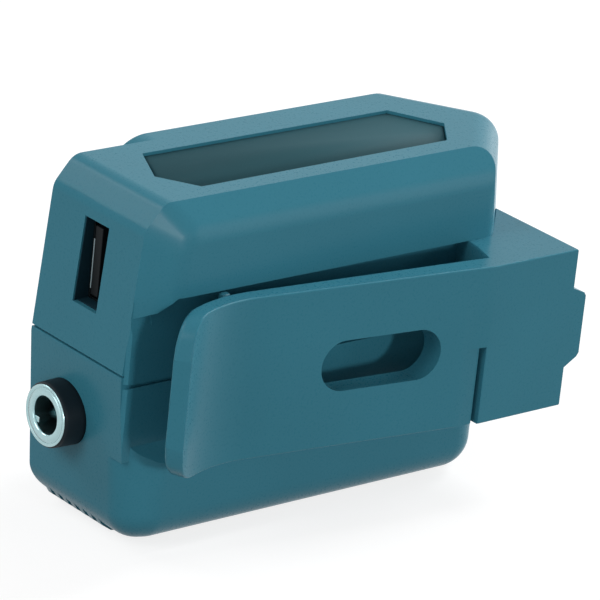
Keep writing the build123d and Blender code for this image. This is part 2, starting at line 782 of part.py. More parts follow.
with BuildPart() as usb_contacts:
    with BuildSketch(Plane.XZ.offset(usb_tongue_thick / 2 - usb_tongue_y)):
        with Locations(((end_x + usb_tongue_start_u + usb_back_x - usb_root_depth) / 2, usb_z)):
            with GridLocations(usb_contact_pitch, usb_contact_pitch, 1, 4):
                Rectangle(usb_back_x - usb_root_depth - end_x - usb_tongue_start_u - 1, usb_contact_width)
    extrude(amount=usb_contact_thick)
usb_contacts.part.label = "usb_contacts"
export_step(usb_contacts.part, "parts/usb_contacts.step")

# Round DC socket: black housing, bright sleeve, centre pin, nut and two solder lugs
jack_face_x = end_x - jack_reach
neck_end_x = end_x + jack_seat_u + jack_neck_length
jack_floor_x = jack_face_x + jack_sleeve_depth
with BuildPart() as jack_housing:
    with BuildSketch(Plane.YZ.offset(jack_face_x)):
        with Locations((jack_y, jack_z)):
            Circle(jack_collar_radius)
    extrude(amount=jack_reach + jack_seat_u)
    with BuildSketch(Plane.YZ.offset(end_x + jack_seat_u)):
        with Locations((jack_y, jack_z)):
            Circle(jack_neck_radius)
    extrude(amount=jack_neck_length)
    with BuildSketch(Plane.YZ.offset(jack_face_x)):
        with Locations((jack_y, jack_z)):
            Circle(jack_hole_radius + jack_sleeve_thick)
    extrude(amount=jack_sleeve_depth, mode=Mode.SUBTRACT)
    with BuildSketch(Plane.YZ.offset(jack_floor_x)):
        with Locations((jack_y, jack_z)):
            Circle(jack_pin_root_radius)
    extrude(amount=neck_end_x - jack_floor_x, mode=Mode.SUBTRACT)
jack_housing.part.label = "jack_housing"
export_step(jack_housing.part, "parts/jack_housing.step")

with BuildPart() as jack_ring:
    with BuildSketch(Plane.YZ.offset(jack_face_x)):
        with Locations((jack_y, jack_z)):
            Circle(jack_ring_radius)
            Circle(jack_hole_radius, mode=Mode.SUBTRACT)
    extrude(amount=-jack_ring_proud)
    with BuildSketch(Plane.YZ.offset(jack_face_x)):
        with Locations((jack_y, jack_z)):
            Circle(jack_hole_radius + jack_sleeve_thick)
            Circle(jack_hole_radius, mode=Mode.SUBTRACT)
    extrude(amount=jack_sleeve_depth)
    mouth = jack_ring.faces().sort_by(Axis.X)[0].edges().sort_by(SortBy.LENGTH)[0]
    chamfer(mouth, jack_mouth_chamfer)
jack_ring.part.label = "jack_ring"
export_step(jack_ring.part, "parts/jack_ring.step")

with BuildPart() as jack_pin:
    with BuildSketch(Plane.YZ.offset(jack_face_x + jack_pin_set)):
        with Locations((jack_y, jack_z)):
            Circle(jack_pin_radius)
    extrude(amount=jack_floor_x - jack_face_x - jack_pin_set)
    with BuildSketch(Plane.YZ.offset(jack_floor_x)):
        with Locations((jack_y, jack_z)):
            Circle(jack_pin_root_radius)
    extrude(amount=neck_end_x - jack_floor_x)
jack_pin.part.label = "jack_pin"
export_step(jack_pin.part, "parts/jack_pin.step")

with BuildPart() as jack_nut:
    with BuildSketch(Plane.YZ.offset(end_x + jack_nut_u)):
        with Locations((jack_y, jack_z)):
            RegularPolygon(jack_nut_across / 2, 6, major_radius=False)
            Circle(jack_neck_radius, mode=Mode.SUBTRACT)
    extrude(amount=jack_nut_thick)
jack_nut.part.label = "jack_nut"
export_step(jack_nut.part, "parts/jack_nut.step")

with BuildPart() as jack_lugs:
    with BuildSketch(Plane.YZ.offset(neck_end_x)):
        with Locations((jack_y, jack_z + lug_spread), (jack_y, jack_z - lug_spread)):
            Rectangle(lug_width, lug_thick)
    extrude(amount=jack_lug_length)
jack_lugs.part.label = "jack_lugs"
export_step(jack_lugs.part, "parts/jack_lugs.step")

# Leads from the socket's lugs to the board
lug_end_x = neck_end_x + jack_lug_length
pad_x = end_x + lead_pad_u
with BuildPart() as positive_lead:
    with BuildLine() as upper_run:
        Polyline(
            (lug_end_x, jack_y, jack_z + lug_spread),
            (lug_end_x + lead_turn, jack_y, jack_z + lug_spread),
            (pad_x, board_y - 2 * lead_turn, jack_z + lead_climb),
            (pad_x, board_y, jack_z + lead_climb),
        )
    with BuildSketch(Plane.YZ.offset(lug_end_x)):
        with Locations((jack_y, jack_z + lug_spread)):
            Circle(lead_radius)
    sweep(transition=Transition.RIGHT)
positive_lead.part.label = "positive_lead"
export_step(positive_lead.part, "parts/positive_lead.step")

with BuildPart() as negative_lead:
    with BuildLine() as lower_run:
        Polyline(
            (lug_end_x, jack_y, jack_z - lug_spread),
            (lug_end_x + lead_turn, jack_y, jack_z - lug_spread),
            (pad_x, board_y - 2 * lead_turn, jack_z - lead_climb),
            (pad_x, board_y, jack_z - lead_climb),
        )
    with BuildSketch(Plane.YZ.offset(lug_end_x)):
        with Locations((jack_y, jack_z - lug_spread)):
            Circle(lead_radius)
    sweep(transition=Transition.RIGHT)
negative_lead.part.label = "negative_lead"
export_step(negative_lead.part, "parts/negative_lead.step")

# Circuit board, with a notch that clears the socket's body
with BuildPart() as main_board:
    with BuildSketch(Plane.XZ.offset(-board_y)):
        Polygon(
            (end_x + board_start_u, board_notch_z),
            (end_x + board_notch_u, board_notch_z),
            (end_x + board_notch_u, board_foot_z),
            (end_x + board_end_u, board_foot_z),
            (end_x + board_end_u, board_head_z),
            (end_x + board_start_u, board_head_z),
            align=None,
        )
    extrude(amount=-board_thick)
main_board.part.label = "main_board"
export_step(main_board.part, "parts/main_board.step")

# Parts on the board's front side, which faces the clip
front_side = Plane.XZ.offset(-board_y)
with BuildPart() as inductor_core:
    with BuildSketch(front_side.offset(winding_thick)):
        with Locations((end_x + inductor_u, inductor_z)):
            Circle(inductor_radius - winding_thick)
            Circle(inductor_bore + winding_thick, mode=Mode.SUBTRACT)
    extrude(amount=inductor_thick - 2 * winding_thick)
inductor_core.part.label = "inductor_core"
export_step(inductor_core.part, "parts/inductor_core.step")

with BuildPart() as inductor_winding:
    with BuildSketch(front_side):
        with Locations((end_x + inductor_u, inductor_z)):
            Circle(inductor_radius)
            Circle(inductor_bore, mode=Mode.SUBTRACT)
            Rectangle(2 * winding_gap, 2 * inductor_radius, align=(Align.CENTER, Align.MAX), mode=Mode.SUBTRACT)
    extrude(amount=inductor_thick)
    with BuildSketch(front_side.offset(winding_thick)):
        with Locations((end_x + inductor_u, inductor_z)):
            Circle(inductor_radius - winding_thick)
            Circle(inductor_bore + winding_thick, mode=Mode.SUBTRACT)
    extrude(amount=inductor_thick - 2 * winding_thick, mode=Mode.SUBTRACT)
inductor_winding.part.label = "inductor_winding"
export_step(inductor_winding.part, "parts/inductor_winding.step")

with BuildPart() as capacitors:
    with BuildSketch(front_side):
        with Locations(*[(end_x + u, z) for u, z in can_spots]):
            Circle(can_radius)
    extrude(amount=can_length)
capacitors.part.label = "capacitors"
export_step(capacitors.part, "parts/capacitors.step")

with BuildPart() as regulator_chips:
    with BuildSketch(front_side):
        with Locations(*[(end_x + u, z) for u, z in chip_spots]):
            Rectangle(chip_size, chip_size)
    extrude(amount=chip_thick)
regulator_chips.part.label = "regulator_chips"
export_step(regulator_chips.part, "parts/regulator_chips.step")

with BuildPart() as chip_resistors:
    with BuildSketch(front_side):
        with Locations(*[(end_x + u, z) for u, z in resistor_spots]):
            Rectangle(resistor_length, resistor_width)
    extrude(amount=resistor_thick)
chip_resistors.part.label = "chip_resistors"
export_step(chip_resistors.part, "parts/chip_resistors.step")

with BuildPart() as schottky_diode:
    with BuildSketch(front_side):
        with Locations((end_x + diode_u, diode_z)):
            Rectangle(diode_length, diode_width)
    extrude(amount=diode_thick)
schottky_diode.part.label = "schottky_diode"
export_step(schottky_diode.part, "parts/schottky_diode.step")

with BuildPart() as board_fuse:
    with BuildSketch(front_side):
        with Locations((end_x + fuse_u, fuse_z)):
            Rectangle(fuse_length, fuse_width)
    extrude(amount=fuse_thick)
board_fuse.part.label = "board_fuse"
export_step(board_fuse.part, "parts/board_fuse.step")

# Terminal block through the rear wall, and three blades that slide into the battery
block_x = end_x + block_start_u
leg_x = block_x + blade_inset
blade_y = rear_plate_y + blade_clear
blade_levels = [rail_centre_z + blade_pitch, rail_centre_z - blade_pitch, rail_centre_z]


def blade_points():
    """Outline of a blade seen from above: a flat strip out of the block, with a leg down to the board."""
    return [
        (leg_x, board_rear_y),
        (leg_x + blade_leg, board_rear_y),
        (leg_x + blade_leg, blade_y),
        (block_x + block_length + blade_length, blade_y),
        (block_x + block_length + blade_length, blade_y + blade_width),
        (leg_x, blade_y + blade_width),
    ]


with BuildPart() as terminal_block:
    with BuildSketch(Plane.XZ.offset(-board_rear_y)):
        with Locations((block_mid_x, rail_centre_z)):
            Rectangle(block_length, block_height)
    extrude(amount=board_rear_y - rear_plate_y - block_reach)
    for level in blade_levels:
        with BuildSketch(Plane.XY.offset(level - blade_thick / 2)):
            Polygon(*blade_points(), align=None)
        extrude(amount=blade_thick, mode=Mode.SUBTRACT)
terminal_block.part.label = "terminal_block"
export_step(terminal_block.part, "parts/terminal_block.step")

with BuildPart() as positive_blade:
    with BuildSketch(Plane.XY.offset(blade_levels[0] - blade_thick / 2)):
        Polygon(*blade_points(), align=None)
    extrude(amount=blade_thick)
positive_blade.part.label = "positive_blade"
export_step(positive_blade.part, "parts/positive_blade.step")

with BuildPart() as negative_blade:
    with BuildSketch(Plane.XY.offset(blade_levels[1] - blade_thick / 2)):
        Polygon(*blade_points(), align=None)
    extrude(amount=blade_thick)
negative_blade.part.label = "negative_blade"
export_step(negative_blade.part, "parts/negative_blade.step")

with BuildPart() as sense_blade:
    with BuildSketch(Plane.XY.offset(blade_levels[2] - blade_thick / 2)):
        Polygon(*blade_points(), align=None)
    extrude(amount=blade_thick)
sense_blade.part.label = "sense_blade"
export_step(sense_blade.part, "parts/sense_blade.step")

# Four screws from below hold the shells together
with BuildPart() as housing_screws:
    with BuildSketch(Plane.XY.offset(screw_head_z)):
        with Locations(*boss_places):
            Circle(screw_head_radius)
    extrude(amount=screw_head_height)
    with BuildSketch(Plane.XY.offset(shank_z)):
        with Locations(*boss_places):
            Circle(screw_radius)
    extrude(amount=screw_length)
    with BuildSketch(Plane.XY.offset(screw_head_z)):
        with Locations(*boss_places):
            Rectangle(screw_slot_width, screw_slot_length)
            Rectangle(screw_slot_length, screw_slot_width)
    extrude(amount=screw_slot_depth, mode=Mode.SUBTRACT)
housing_screws.part.label = "housing_screws"
export_step(housing_screws.part, "parts/housing_screws.step")
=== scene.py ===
"""Looks of the battery adapter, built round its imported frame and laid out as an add-on."""

from math import cos, pi, radians, sin, sqrt, tan

import bmesh
import bpy
from bpy.props import FloatProperty, FloatVectorProperty, PointerProperty
from mathutils import Matrix, Vector


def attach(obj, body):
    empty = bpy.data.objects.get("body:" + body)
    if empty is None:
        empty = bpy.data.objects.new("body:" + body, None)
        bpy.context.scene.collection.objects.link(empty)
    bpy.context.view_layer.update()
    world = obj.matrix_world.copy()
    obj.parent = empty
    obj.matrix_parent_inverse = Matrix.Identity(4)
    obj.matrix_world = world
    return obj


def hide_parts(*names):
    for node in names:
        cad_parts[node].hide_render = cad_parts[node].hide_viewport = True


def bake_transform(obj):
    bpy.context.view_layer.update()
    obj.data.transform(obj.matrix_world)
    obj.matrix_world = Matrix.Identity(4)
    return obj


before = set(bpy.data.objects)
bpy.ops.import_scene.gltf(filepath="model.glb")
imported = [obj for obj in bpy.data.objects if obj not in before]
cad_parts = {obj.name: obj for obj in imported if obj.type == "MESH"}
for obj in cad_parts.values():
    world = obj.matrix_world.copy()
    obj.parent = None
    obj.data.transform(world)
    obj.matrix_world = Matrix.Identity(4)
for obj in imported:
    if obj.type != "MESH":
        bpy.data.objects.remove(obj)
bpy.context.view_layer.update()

bl_info = {
    "name": "Battery adapter",
    "version": (1, 0, 0),
    "blender": (4, 5, 0),
    "location": "3D View > Sidebar > Adapter",
    "description": "Dresses the battery adapter's frame with its mouldings, port, socket and studio",
    "category": "Object",
}

MM = 0.001


def metres(points):
    """Points given in millimetres, as tuples in metres."""
    return [tuple(value * MM for value in point) for point in points]


def rectangle(left, right, front, back):
    """Outline of a rectangle seen from above, in the unit of its sides."""
    return [(left, front), (right, front), (right, back), (left, back)]


def linear(hex_value):
    """Linear RGB of an sRGB hex colour."""
    parts = [int(hex_value[i:i + 2], 16) / 255 for i in (1, 3, 5)]
    return tuple(c / 12.92 if c <= 0.04045 else ((c + 0.055) / 1.055) ** 2.4 for c in parts)


def length(label, value_mm, note):
    """A length property whose default is given in millimetres."""
    return FloatProperty(
        name=label, description=note, default=value_mm * MM, unit="LENGTH", precision=5)


def colour(label, hex_value, note):
    """A colour property whose default is given as sRGB hex."""
    return FloatVectorProperty(
        name=label, description=note, default=linear(hex_value), subtype="COLOR", size=3)


class AdapterSizes(bpy.types.PropertyGroup):
    """Lengths that shape the dressed pieces"""

    shell_edge: length("Shell edge", 0.6, "Rounding of the shells' sharp edges")
    brow_edge: length("Brow edge", 2.6, "Set-back of the soft edges between the brow's faces")
    clip_front_edge: length("Clip front edge", 0.5, "Rounding of the clip's outer edges")
    clip_rear_edge: length("Clip rear edge", 1.7, "Rounding of the clip's edges by the housing")
    slot_edge: length("Slot edge", 0.35, "Rounding round the clip's slot")
    small_edge: length("Small edge", 0.15, "Rounding on the small parts")


class AdapterColours(bpy.types.PropertyGroup):
    """Colours of the main finishes"""

    housing: colour("Housing", "#397D90", "Teal of the moulded nylon")
    plate: colour("Plate", "#33575F", "Slate of the bare rating plate")
    socket: colour("Socket", "#0F1A20", "Black of the socket's collar")


# Materials

DRIFT_MM = 18  # size of the slow change of colour over a moulding
RAMP_ENDS = (0.3, 0.7)


def add_node(tree, kind, settings=None, places=(), **inputs):
    """Adds a node with its settings and its inputs, by place, or by name with _ for a space."""
    node = tree.nodes.new(kind)
    for name, value in (settings or {}).items():
        setattr(node, name, value)
    sockets = [(node.inputs[i], value) for i, value in enumerate(places)]
    sockets += [(node.inputs[name.replace("_", " ")], value) for name, value in inputs.items()]
    for socket, value in sockets:
        if isinstance(value, bpy.types.NodeSocket):
            tree.links.new(value, socket)
        else:
            socket.default_value = value
    return node


def finish(name, low, high, grain_mm, depth_mm, rough, metallic=0.0, ior=1.5, coat=0.0, gloss=0.5):
    """A material whose colour, roughness and relief follow a grain of a real size."""
    made = bpy.data.materials.new(name)
    made.use_nodes = True
    tree = made.node_tree
    tree.nodes.clear()
    place = add_node(tree, "ShaderNodeTexCoord").outputs["Object"]
    grain, drift = (
        add_node(
            tree, "ShaderNodeTexNoise", Vector=place, Scale=1 / (size * MM), Detail=detail,
        ).outputs["Fac"]
        for size, detail in ((grain_mm, 3.0), (DRIFT_MM, 1.0))
    )
    halved = add_node(tree, "ShaderNodeMath", {"operation": "MULTIPLY"}, (drift, 0.5))
    mixed = add_node(
        tree, "ShaderNodeMath", {"operation": "MULTIPLY_ADD"}, (grain, 0.5, halved.outputs[0]))
    ramp = add_node(tree, "ShaderNodeValToRGB", Fac=mixed.outputs[0])
    for stop, at, tone in zip(ramp.color_ramp.elements, RAMP_ENDS, (low, high)):
        stop.position = at
        stop.color = (*(linear(tone) if isinstance(tone, str) else tone), 1)
    worn = add_node(tree, "ShaderNodeMapRange", Value=grain, To_Min=rough[0], To_Max=rough[1])
    relief = add_node(tree, "ShaderNodeBump", Height=grain, Distance=depth_mm * MM, Strength=1.0)
    shader = add_node(
        tree, "ShaderNodeBsdfPrincipled", Base_Color=ramp.outputs["Color"], Metallic=metallic,
        Roughness=worn.outputs["Result"], IOR=ior, Coat_Weight=coat, Specular_IOR_Level=gloss,
        Normal=relief.outputs["Normal"])
    add_node(tree, "ShaderNodeOutputMaterial", Surface=shader.outputs["BSDF"])


def shade(tone, factor):
    """The colour made darker or lighter by a factor."""
    return tuple(min(1.0, c * factor) for c in tone[:3])


def finishes():
    """All the materials by name, made once."""
    if "moulded nylon" in bpy.data.materials:
        return bpy.data.materials
    colours = bpy.context.scene.adapter_colours
    teal, slate, black = colours.housing, colours.plate, colours.socket
    # Injection-moulded glass-filled nylon: a satin skin over a spark-eroded grain, which is
    # drawn about three times as coarse as life so that it just breaks up the light
    finish("moulded nylon", shade(teal, 0.96), shade(teal, 1.04), 0.35, 0.002, (0.25, 0.31),
           ior=1.53, gloss=0.09)
    # Polyester film: flatter and duller than the moulding round it, so it reads as an inlay
    finish("polyester plate", shade(slate, 0.93), shade(slate, 1.07), 0.25, 0.002, (0.55, 0.62),
           ior=1.57, gloss=0.03)
    # Moulded black nylon of the socket and the terminal block: nearly black, with a soft sheen
    finish("black nylon", shade(black, 0.9), shade(black, 1.2), 0.3, 0.004, (0.42, 0.52),
           ior=1.53, gloss=0.12)
    # Nickel plate on turned brass: bright, with faint turning marks
    finish("nickel plate", "#97B6BA", "#AECBCE", 0.12, 0.001, (0.2, 0.3), metallic=1.0)
    # Tinned steel sheet of the port's shell, its colour painted dark grey as the shade inside the
    # window: a dull grey gleam inside the dark window
    finish("tinned steel", "#1E2629", "#2A3337", 0.2, 0.001, (0.4, 0.5), metallic=1.0)
    # A pale strip painted on the front edge of the port's black tongue as its highlight: one pale
    # line in the dark window
    finish("white polyester moulding", "#8FA6AD", "#A9BDC3", 0.2, 0.002, (0.4, 0.5), ior=1.57)
    # Dark, dull sheets painted as the shade inside the port's window, so that the window reads as
    # deep
    finish("slate polyester moulding", "#122B35", "#173541", 0.3, 0.002, (0.5, 0.6),
           ior=1.57, gloss=0.1)
    # Moulded black polyester of the port's tongue: barely lighter than the hollow round it
    finish("black polyester moulding", "#0C1114", "#12181B", 0.2, 0.002, (0.4, 0.5),
           ior=1.57, gloss=0.1)
    # Gold flash on phosphor bronze: warm and bright, with soft rolling marks
    finish("gold flash", "#B98F45", "#D3AC62", 0.15, 0.001, (0.2, 0.3), metallic=1.0)
    # Glass-epoxy board under green solder resist: a clear gloss over a faint weave
    finish("solder resist", "#0E3F24", "#17573A", 0.8, 0.004, (0.25, 0.35), ior=1.55, coat=0.3)
    # Sintered ferrite: dull, dense and nearly black
    finish("sintered ferrite", "#26272A", "#35363A", 0.3, 0.01, (0.55, 0.7), ior=1.6)
    # Enamelled copper wire: a shiny red brown
    finish("enamelled copper", "#8C3F22", "#B05A33", 0.3, 0.001, (0.18, 0.28), metallic=1.0)
    # Drawn aluminium of the capacitors' cans: pale, with a soft metal sheen
    finish("drawn aluminium", "#A9AEB2", "#C3C8CB", 0.2, 0.001, (0.25, 0.36), metallic=1.0)
    # Glazed ceramic of the fuse: off-white and smooth, with sharp highlights
    finish("glazed ceramic", "#CFCCC2", "#DEDBD1", 0.5, 0.002, (0.15, 0.25), ior=1.55)
    # Extruded PVC on the leads: an even colour with a waxy sheen
    finish("red PVC", "#8E1B17", "#A62520", 0.5, 0.002, (0.35, 0.45), ior=1.54)
    finish("black PVC", "#141414", "#1F1F1F", 0.5, 0.002, (0.35, 0.45), ior=1.54)
    # Zinc-plated steel of the screws: grey, between dull and bright
    finish("zinc plate", "#7B8083", "#9CA1A3", 0.15, 0.002, (0.3, 0.42), metallic=1.0)
    return bpy.data.materials


# Mesh helpers

WELD_REACH = 0.002 * MM  # points closer than this are one point
FLAT_TURN = radians(0.6)  # faces that turn less than this are one flat face


def round_edges(piece, edge, angle=25):
    """Adds the modifiers that round a piece's sharp edges."""
    rounding = piece.modifiers.new("edges", "BEVEL")
    rounding.width = edge
    rounding.segments = 3
    rounding.limit_method = "ANGLE"
    rounding.angle_limit = radians(angle)
    piece.modifiers.new("normals", "WEIGHTED_NORMAL").keep_sharp = False


def dress(node, material):
    """Gives a CAD node its finish."""
    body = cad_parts[node]
    body.data.materials.clear()
    body.data.materials.append(finishes()[material])
    return body


def soften(node, material, edge):
    """Dresses a CAD node and rounds its sharp edges without touching its mesh."""
    body = dress(node, material)
    body.data.shade_smooth()
    if "custom_normal" in body.data.attributes:
        body.data.attributes.remove(body.data.attributes["custom_normal"])
    body.modifiers.new("weld", "WELD").merge_threshold = WELD_REACH
    flats = body.modifiers.new("flats", "DECIMATE")
    flats.decimate_type = "DISSOLVE"
    flats.angle_limit = FLAT_TURN
    round_edges(body, edge)


def mesh_piece(name, mesh_data, material="moulded nylon", body="housing"):
    """Puts a bmesh into the scene as a named piece with its finish, riding on a body."""
    mesh = bpy.data.meshes.new(name)
    bmesh.ops.recalc_face_normals(mesh_data, faces=mesh_data.faces)
    mesh_data.to_mesh(mesh)
    mesh_data.free()
    mesh.materials.append(finishes()[material])
    mesh.shade_smooth()
    piece = bpy.data.objects.new(name, mesh)
    bpy.context.scene.collection.objects.link(piece)
    if body:
        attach(piece, body)
    return piece


def extrude(mesh_data, outline, low, high, along="Z"):
    """Adds a closed prism along an axis, over an outline given in the other two axes."""
    order = {"X": (2, 0, 1), "Y": (0, 2, 1), "Z": (0, 1, 2)}[along]
    ends = []
    for height in (low, high):
        corners = ((*point, height) for point in outline)
        ends.append([mesh_data.verts.new([corner[i] for i in order]) for corner in corners])
    foot, head = ends
    mesh_data.faces.new(foot[::-1])
    mesh_data.faces.new(head)
    for i in range(len(outline)):
        j = (i + 1) % len(outline)
        mesh_data.faces.new((foot[i], foot[j], head[j], head[i]))


def block_piece(name, near, far, material, slot, edge):
    """A block between two corners, with its edges rounded."""
    data = bmesh.new()
    extrude(data, rectangle(near[0], far[0], near[1], far[1]), near[2], far[2])
    block = mesh_piece(name, data, material)
    rounding = block.modifiers.new("edges", "BEVEL")
    rounding.width = edge
    rounding.segments = 3
    block.modifiers.new("normals", "WEIGHTED_NORMAL")
    return block


def settle(piece):
    """Applies all modifiers of a piece to its mesh."""
    graph = bpy.context.evaluated_depsgraph_get()
    made = bpy.data.meshes.new_from_object(piece.evaluated_get(graph))
    piece.modifiers.clear()
    piece.data = made


def combine(piece, tool, operation="DIFFERENCE"):
    """Takes a tool's space from a piece, or adds it, and removes the tool."""
    change = piece.modifiers.new("tool", "BOOLEAN")
    change.operation = operation
    change.solver = "EXACT"
    change.object = tool
    settle(piece)
    bpy.data.objects.remove(tool)


def lathe(mesh_data, profile, start, centre, turns=96):
    """Turns a profile of (x, radius) points, in mm from start, about the X axis through centre."""
    rings = []
    for x, radius in metres(profile):
        ring = []
        for i in range(turns):
            angle = 2 * pi * i / turns
            across = (centre[0] + radius * cos(angle), centre[1] + radius * sin(angle))
            ring.append(mesh_data.verts.new((start + x, *across)))
        rings.append(ring)
    for first, second in zip(rings, rings[1:]):
        for i in range(turns):
            j = (i + 1) % turns
            mesh_data.faces.new((first[i], first[j], second[j], second[i]))


# Housing. X runs from the socket end to the right, Y from the clip to the battery, Z up.

END_X = -36 * MM  # the socket end

# Outline of the plate's recess seen from above, a little wider than the frame's
RECESS = metres([
    (-21.1, 7.3), (-25.4, -1.4), (-21.4, -7.7), (27.0, -7.3), (31.7, -1.1), (27.1, 7.3),
])
RECESS_FLOOR, TOP = 54.7 * MM, 55.5 * MM

# Faces of the brow that meet in soft edges: a point in mm and the outward direction of each
BROW_FACES = {
    "front": ((0.0, -14.005, 48.0), (0.0, -1.0, 0.0)),
    "upper slope": ((-6.0, -12.005, 54.035), (0.0, -0.851, 0.525)),
    "left corner": ((-32.41, -12.145, 45.67), (-0.458, -0.888, 0.03)),
    "upper left corner": ((-30.11, -12.255, 52.405), (-0.33, -0.903, 0.275)),
}
# The space in front of and over the brow that its soft edges are cut from
BROW_SPACE = metres(rectangle(-40, 50, -20, -6))
BROW_FOOT, BROW_HEAD = 40.5 * MM, 60 * MM
HULL_SIZE = 0.2

# Where the parting line is widened: the faces that it crosses, and its height on each
SEAM_FOOT = 27.0 * MM
SEAMS = {
    "end_seam": (metres(rectangle(-40, -34.3, -20, 12)), 27.6 * MM),
    "front_seam": (metres(rectangle(-40, 33, -20, -11.2)), 27.5 * MM),
}


def brow_cutter(width):
    """What lies outside the brow's faces once the edges between them are rounded."""
    hull = bmesh.new()
    bmesh.ops.create_cube(hull, size=HULL_SIZE)
    directions = []
    for place, direction in BROW_FACES.values():
        directions.append(Vector(direction).normalized())
        cut = bmesh.ops.bisect_plane(
            hull, geom=[*hull.verts, *hull.edges, *hull.faces], clear_outer=True,
            plane_co=Vector(place) * MM, plane_no=directions[-1])
        rim = [part for part in cut["geom_cut"] if isinstance(part, bmesh.types.BMEdge)]
        bmesh.ops.contextual_create(hull, geom=rim)
    hull.normal_update()
    soft = [
        edge for edge in hull.edges
        if all(max(face.normal.dot(d) for d in directions) > 0.999 for face in edge.link_faces)
    ]
    bmesh.ops.bevel(
        hull, geom=soft, offset=width, segments=8, profile=0.5, affect="EDGES", clamp_overlap=True)
    inner = mesh_piece("brow_hull", hull, body=None)
    block = bmesh.new()
    extrude(block, BROW_SPACE, BROW_FOOT, BROW_HEAD)
    outer = mesh_piece("brow_block", block, body=None)
    combine(outer, inner)
    return outer


class ADAPTER_OT_shells(bpy.types.Operator):
    """Finish the two moulded housing shells"""

    bl_idname = "adapter.shells"
    bl_label = "Housing shells"

    def execute(self, context):
        sizes = context.scene.adapter_sizes
        data = bmesh.new()
        data.from_mesh(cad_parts["upper_shell"].data)
        bmesh.ops.remove_doubles(data, verts=data.verts, dist=WELD_REACH)
        bmesh.ops.dissolve_limit(data, angle_limit=FLAT_TURN, verts=data.verts, edges=data.edges)
        upper = mesh_piece("upper_moulding", data)
        recess = bmesh.new()
        extrude(recess, RECESS, RECESS_FLOOR, TOP + 2 * MM)
        combine(upper, mesh_piece("recess_cutter", recess, body=None))
        combine(upper, brow_cutter(sizes.brow_edge))
        for name, (outline, head) in SEAMS.items():
            seam = bmesh.new()
            extrude(seam, outline, SEAM_FOOT, head)
            combine(upper, mesh_piece(name, seam, body=None))
        round_edges(upper, sizes.shell_edge)
        settle(upper)
        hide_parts("upper_shell")
        soften("lower_shell", "moulded nylon", sizes.shell_edge)
        return {"FINISHED"}


# Belt clip and collar, where the frame has them

CLIP_FOOT, CLIP_HEAD = 14.8 * MM, 41.1 * MM
COLLAR_FRONT_Y = -24.2 * MM
COLLAR_RIGHT_X = 41.6 * MM
ROOT_X = 26.4 * MM
ROOT_DEPTH = 1.95 * MM  # how far the hinge's line lies behind the collar's front
ARM_SLANT = radians(7.4)
ARM_TIP_THICK, ARM_GAIN = 2.8 * MM, 0.4 * MM  # the arm's thickness at its tip, and what it gains
ARM_END_FRONT = Vector((25.0 * MM, COLLAR_FRONT_Y))
ARM_END_REAR = Vector((26.1 * MM, -20.2 * MM))
TIP_CORNER = 6 * MM
BEND_X = -17 * MM
FLARE_RADIUS = 21 * MM
FLARE_TURN = radians(45.5)
FLARE_STEPS, STRAIGHT_STEPS = 26, 16
WALL_SLANT = radians(47)
WALL_FOOT = Vector((34.98 * MM, -11.6 * MM))
# Round end of the gap behind the arm, from the housing's wall to the arm
POCKET_END = metres([(27.7, -11.6), (27.6, -14.5), (27.2, -16.8), (26.7, -18.4)])
# Where the collar's outline turns from its right side to its slanted wall, and its side that
# lies along the housing
WALL_CORNER, HOUSING_SIDE = 2, 3
COLLAR_SHARE = 0.8  # the collar's rounding as a share of the arm's outer one
SLOT_X, SLOT_Z = 5.7 * MM, 28 * MM
SLOT_RIGHT, SLOT_LEFT, SLOT_RADIUS = 6.35 * MM, -6.6 * MM, 4.15 * MM
SLOT_STEPS = 48
SLOT_FRONT_Y, SLOT_REAR_Y = -30 * MM, -10 * MM
# The slit at the arm's root seen from above, with a soft slope towards the arm
SLIT = metres([
    (20.3, -25.0), (24.6, -25.0), (24.6, -21.9), (24.1, -21.9), (23.8, -23.4), (20.3, -23.62),
])
SLIT_HEAD = 27.7 * MM
# The tab at the collar's right end seen from the front, and how far back it reaches
TAB = metres([
    (40.2, 21.2), (41.5, 21.2), (44.0, 22.7), (44.4, 23.3), (44.4, 32.9), (44.0, 33.5),
    (41.5, 34.6), (40.2, 34.6),
])
TAB_DEPTH = 14 * MM
# The stop behind the arm seen from its end, and its two sides
STOP = metres([(-17.8, 15.2), (-13.4, 15.2), (-13.4, 40.8), (-14.6, 40.8), (-17.8, 38.0)])
STOP_LEFT, STOP_RIGHT = -21.1 * MM, -19.7 * MM
STOP_EDGE = 0.3 * MM


def arm_stations():
    """Front and rear points of the clip's arm seen from above, from its tip to its root."""
    bend_y = (
        COLLAR_FRONT_Y + ROOT_DEPTH * (1 - cos(ARM_SLANT)) + (ROOT_X - BEND_X) * tan(ARM_SLANT))
    middle = Vector((
        BEND_X - FLARE_RADIUS * sin(ARM_SLANT), bend_y - FLARE_RADIUS * cos(ARM_SLANT)))
    stations = []
    for i in range(FLARE_STEPS + 1):
        share = i / FLARE_STEPS
        at = ARM_SLANT - FLARE_TURN * (1 - share)
        ray = Vector((sin(at), cos(at)))
        thick = ARM_TIP_THICK + ARM_GAIN * share
        stations.append((middle + ray * FLARE_RADIUS, middle + ray * (FLARE_RADIUS + thick)))
    start_front, start_rear = stations[-1]
    for i in range(1, STRAIGHT_STEPS + 1):
        share = i / STRAIGHT_STEPS
        stations.append((
            start_front.lerp(ARM_END_FRONT, share), start_rear.lerp(ARM_END_REAR, share)))
    return stations


def arm_rings(data):
    """Rings of four points along the arm, drawn in at the tip by its round corners."""
    rings = []
    gone, before = 0.0, None
    for front, rear in arm_stations():
        middle = (front + rear) / 2
        gone += (middle - before).length if before is not None else 0.0
        before = middle
        within = max(0.0, TIP_CORNER - gone)
        short = TIP_CORNER - sqrt(max(0.0, TIP_CORNER ** 2 - within ** 2))
        low, high = CLIP_FOOT + short, CLIP_HEAD - short
        corners = ((front, low), (rear, low), (rear, high), (front, high))
        rings.append([data.verts.new((*point, z)) for point, z in corners])
    return rings


